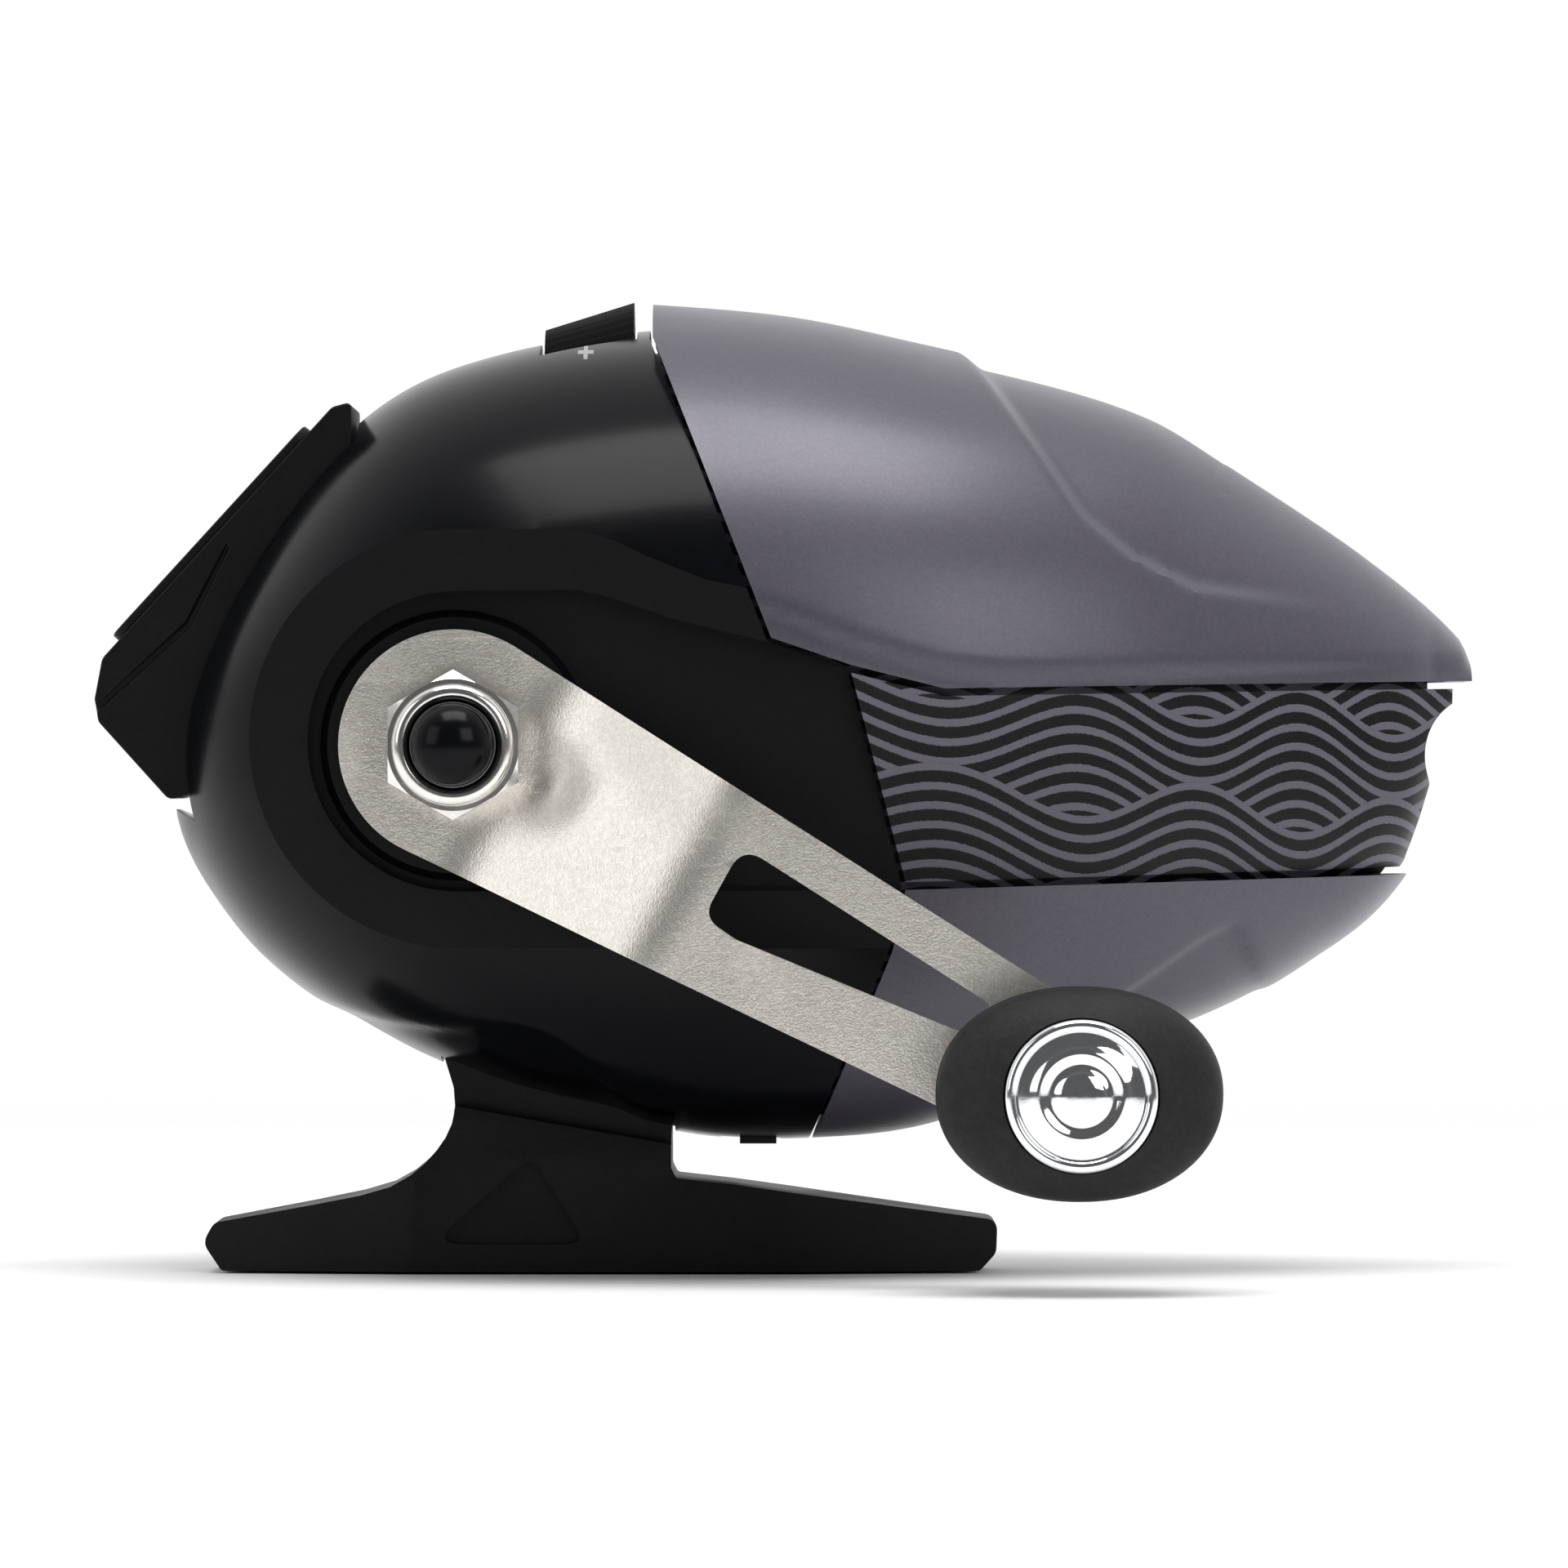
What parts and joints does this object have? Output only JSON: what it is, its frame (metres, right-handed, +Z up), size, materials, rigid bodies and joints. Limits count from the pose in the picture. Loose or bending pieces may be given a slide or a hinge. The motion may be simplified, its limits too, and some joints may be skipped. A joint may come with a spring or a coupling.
{
  "type": "spincast fishing reel",
  "caption": "Closed-face spincast fishing reel with an egg-shaped casing, foot for a rod's reel seat, stepped crank with an oval knob, ribbed drag dial and thumb button.",
  "frame": {"origin": "middle of the foot's flat sole", "axes": "+Z up from the sole, +X towards the nose where the line leaves, crank on the -Y side"},
  "size_m": [0.1088, 0.0873, 0.0768],
  "materials": {
    "gloss_black": "gloss",
    "matte_black": "matte",
    "patterned_band": "satin, printed with pale grey wave lines",
    "grey_paint": "satin metallic paint",
    "soft_rubber": "matte",
    "chrome": "polished",
    "plated_steel": "satin nickel plate",
    "steel": "machined",
    "bronze": "machined",
    "alloy": "machined",
    "felt": "matte"
  },
  "bodies": {
    "reel_body": {"frame": "matte_black", "rear_casing": "gloss_black", "front_shell_upper": "grey_paint", "front_shell_lower": "grey_paint", "nose_cover": "patterned_band", "line_guide": "chrome", "deck_screw_1": "steel", "deck_screw_2": "steel", "deck_screw_3": "steel", "deck_screw_4": "steel", "deck_bushing": "bronze", "gear_bushing": "bronze", "side_bushing": "bronze", "side_plug": "matte_black", "button_pin": "steel", "dial_axle": "steel", "pawl_pin": "steel", "drag_washer": "felt", "drag_plate": "steel", "spool_clip": "steel"},
    "spool_body": {"spool": "alloy"},
    "crank": {"crank_shaft": "steel", "crown_gear": "bronze", "ratchet_wheel": "steel", "crank_spacer": "steel", "crank_washer": "plated_steel", "crank_arm": "plated_steel", "crank_nut": "plated_steel", "nut_dome": "gloss_black", "knob_post": "plated_steel"},
    "knob": {"knob_grip": "soft_rubber", "knob_cap": "chrome"},
    "pinion_gear": {"pinion": "bronze", "return_spring": "steel"},
    "main_shaft": {"centre_shaft": "steel", "spinner_head": "alloy", "spinner_nut": "steel"},
    "pin_a": {"pickup_pin_a": "steel"},
    "pin_b": {"pickup_pin_b": "steel"},
    "button": {"thumb_button": "gloss_black"},
    "dial": {"drag_dial": "matte_black"},
    "plunger": {"drag_plunger": "steel"},
    "pawl_catch": {"pawl": "steel"},
    "latch": {"cover_latch": "matte_black"}
  },
  "joints": [
    {"name": "handle_spin", "type": "hinge", "parent": "reel_body", "child": "crank", "pos_m": [-0.0109, 0, 0.0415], "axis": [0, 1, 0], "continuous": true},
    {"name": "knob_spin", "type": "hinge", "parent": "crank", "child": "knob", "pos_m": [0.03685, -0.049, 0.01503], "axis": [0, 1, 0], "continuous": true},
    {"name": "pinion_spin", "type": "hinge", "parent": "reel_body", "child": "pinion_gear", "pos_m": [0, 0, 0.0415], "axis": [1, 0, 0], "continuous": true},
    {"name": "shaft_slide", "type": "slide", "parent": "pinion_gear", "child": "main_shaft", "axis": [1, 0, 0], "range_m": [0, 0.0036], "deforming": ["return_spring"]},
    {"name": "pin_a_slide", "type": "slide", "parent": "main_shaft", "child": "pin_a", "axis": [0, 0, 1], "range_m": [-0.0017, 0]},
    {"name": "pin_b_slide", "type": "slide", "parent": "main_shaft", "child": "pin_b", "axis": [0, 0, -1], "range_m": [-0.0017, 0]},
    {"name": "button_press", "type": "hinge", "parent": "reel_body", "child": "button", "pos_m": [-0.019, 0, 0.062], "axis": [0, -1, 0], "range_deg": [0, 10], "stiffness_Nm_per_rad": 0.8, "springref_deg": -3.44},
    {"name": "drag_dial_turn", "type": "hinge", "parent": "reel_body", "child": "dial", "pos_m": [0, 0, 0.0648], "axis": [1, 0, 0], "range_deg": [-135, 135]},
    {"name": "plunger_slide", "type": "slide", "parent": "reel_body", "child": "plunger", "axis": [1, 0, 0], "range_m": [-0.0003, 0.0003]},
    {"name": "spool_slip", "type": "hinge", "parent": "reel_body", "child": "spool_body", "pos_m": [0.0085, 0, 0.0415], "axis": [1, 0, 0], "continuous": true},
    {"name": "pawl_swing", "type": "hinge", "parent": "reel_body", "child": "pawl_catch", "pos_m": [-0.0033, 0, 0.052], "axis": [0, 1, 0], "range_deg": [0, 14]},
    {"name": "latch_slide", "type": "slide", "parent": "reel_body", "child": "latch", "axis": [-1, 0, 0], "range_m": [0, 0.0012], "stiffness_N_per_m": 600, "springref_m": -0.0004}
  ],
  "couplings": [
    {"joint": "pinion_spin", "follows": "handle_spin", "ratio": 3.6},
    {"joint": "shaft_slide", "follows": "button_press", "m_per_rad": 0.0206},
    {"joint": "pin_a_slide", "follows": "button_press", "m_per_rad": -0.0092},
    {"joint": "pin_b_slide", "follows": "button_press", "m_per_rad": -0.0092},
    {"joint": "plunger_slide", "follows": "drag_dial_turn", "m_per_rad": 0.000127}
  ]
}
